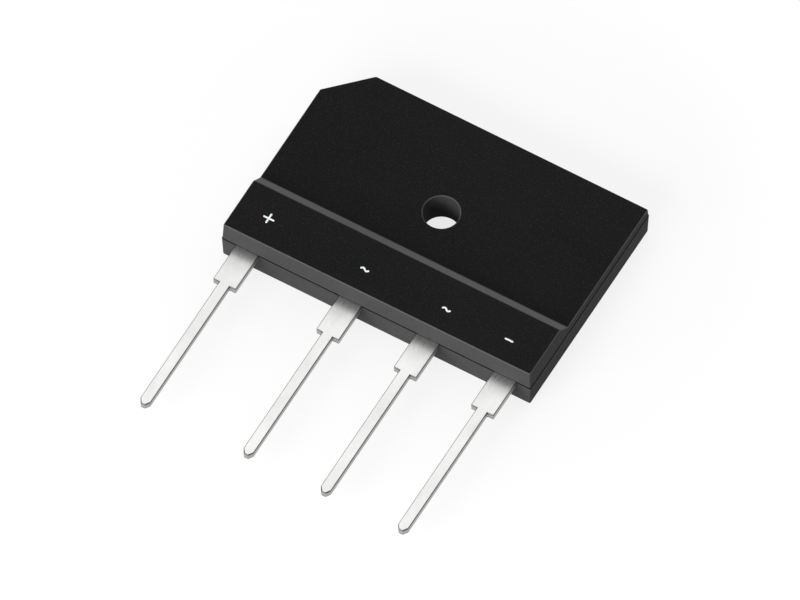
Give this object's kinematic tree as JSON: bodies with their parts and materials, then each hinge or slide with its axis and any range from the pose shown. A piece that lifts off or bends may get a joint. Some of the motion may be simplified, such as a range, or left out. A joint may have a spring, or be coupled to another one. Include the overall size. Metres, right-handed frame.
{
  "type": "bridge rectifier",
  "caption": "Flat moulded four-lead in-line bridge rectifier with a mounting hole, a stepped ridge over the leads and a cut corner on the plus side.",
  "frame": {"origin": "axis of the mounting hole in the plane of the flat back", "axes": "+Z out of the marked face, +Y away from the leads, +X from the plus lead to the minus lead"},
  "size_m": [0.03, 0.0375, 0.0046],
  "materials": {
    "resin": "fine matt black moulding resin",
    "tinned_copper": "satin tin plate",
    "silicon": "polished, with a glass passivated bevel",
    "copper": "bare rolled copper",
    "solder": "reflowed solder",
    "marking_ink": "white printed polarity signs"
  },
  "bodies": {
    "root": {"case": "resin", "lead_positive": "tinned_copper", "lead_ac_left": "tinned_copper", "lead_ac_right": "tinned_copper", "lead_negative": "tinned_copper", "die_upper_left": "silicon", "die_upper_right": "silicon", "die_lower_left": "silicon", "die_lower_right": "silicon", "clip_left": "copper", "clip_right": "copper", "strap": "copper", "solder_under_upper_left": "solder", "solder_under_upper_right": "solder", "solder_under_lower_left": "solder", "solder_under_lower_right": "solder", "solder_over_upper_left": "solder", "solder_over_upper_right": "solder", "solder_over_lower_left": "solder", "solder_over_lower_right": "solder", "solder_clip_left": "solder", "solder_clip_right": "solder", "solder_strap": "solder"}
  },
  "joints": []
}
